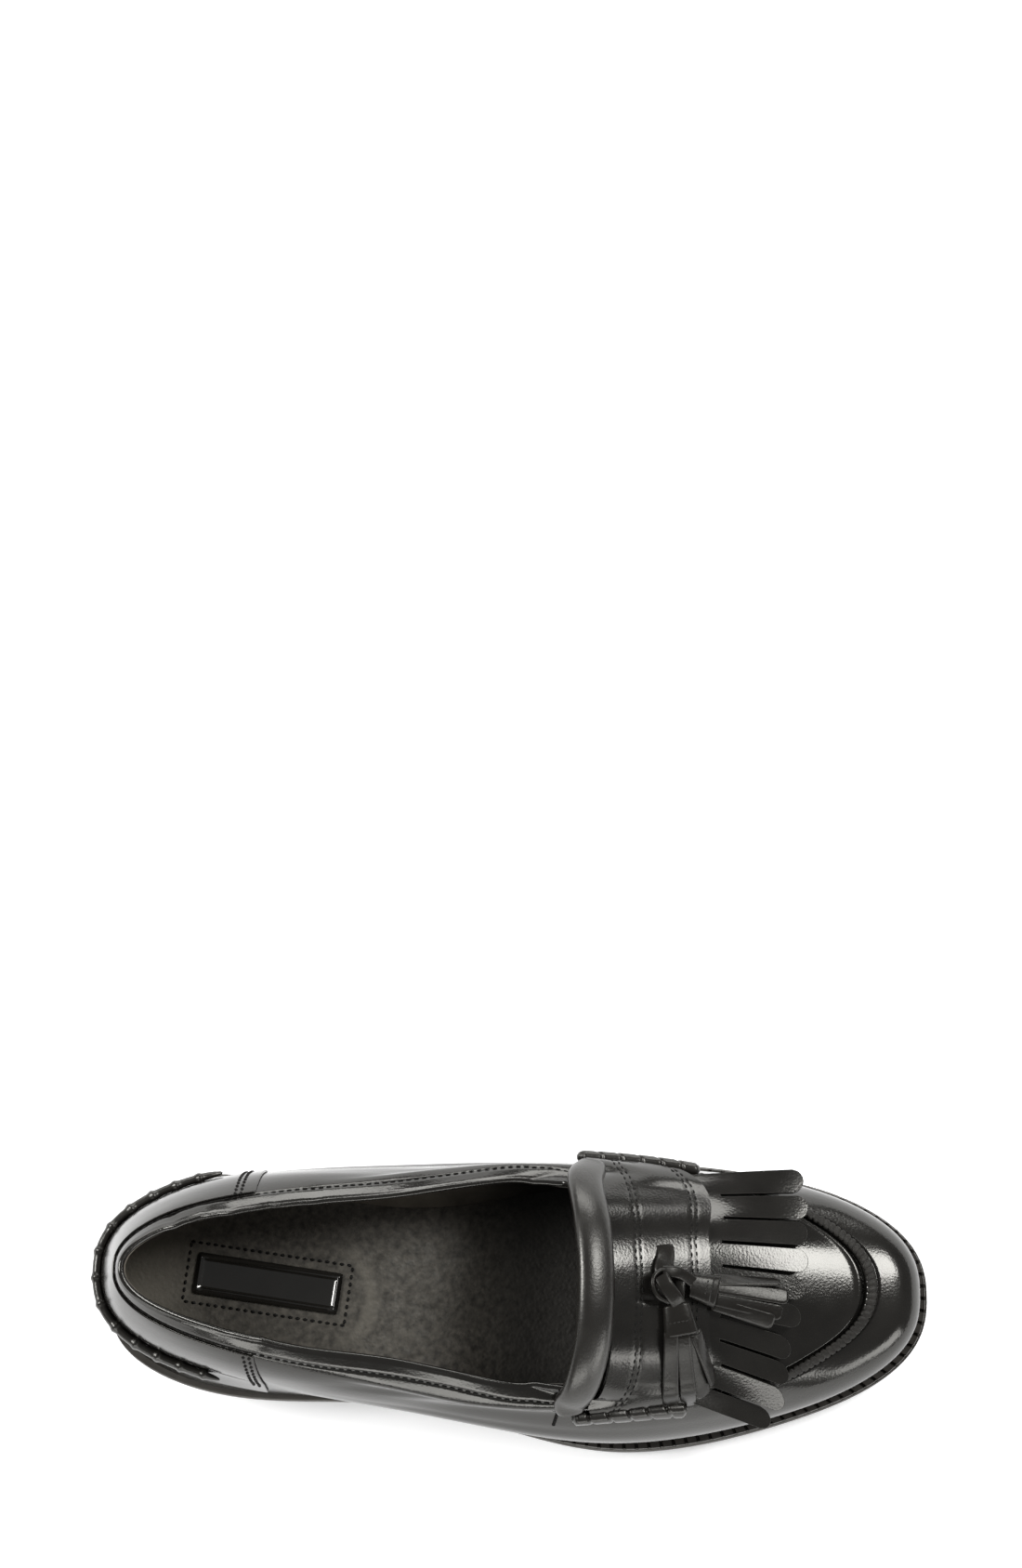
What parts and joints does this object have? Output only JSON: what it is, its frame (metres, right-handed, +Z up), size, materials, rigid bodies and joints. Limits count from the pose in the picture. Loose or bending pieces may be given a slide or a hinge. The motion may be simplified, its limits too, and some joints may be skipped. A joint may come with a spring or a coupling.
{
  "type": "tassel loafer",
  "caption": "Right-foot slip-on tassel loafer: hollow polished leather upper on a welted rubber sole and low block heel, with a padded throat roll, fringed leaf and tassels.",
  "frame": {"origin": "on the floor under the middle of the shoe's box", "axes": "+X to the toe, +Y to the inner (medial) side of the right foot, +Z up"},
  "size_m": [0.2636, 0.0928, 0.077],
  "materials": {
    "polished_leather": "high-shine black",
    "soft_leather": "semi-matte black",
    "black_rubber": "matte moulded",
    "sock_leather": "dull mottled dark grey"
  },
  "bodies": {
    "root": {"upper": "polished_leather", "counter": "polished_leather", "saddle": "polished_leather", "kiltie": "polished_leather", "throat_roll": "soft_leather", "side_roll_lateral": "soft_leather", "side_roll_medial": "soft_leather", "heel_roll": "soft_leather", "tassel_knot": "soft_leather", "tassel_front_cap": "soft_leather", "tassel_side_cap": "soft_leather", "tassel_front_skirt": "soft_leather", "tassel_side_skirt": "soft_leather", "outsole": "black_rubber", "heel": "black_rubber", "welt": "black_rubber", "insole": "sock_leather"}
  },
  "joints": []
}
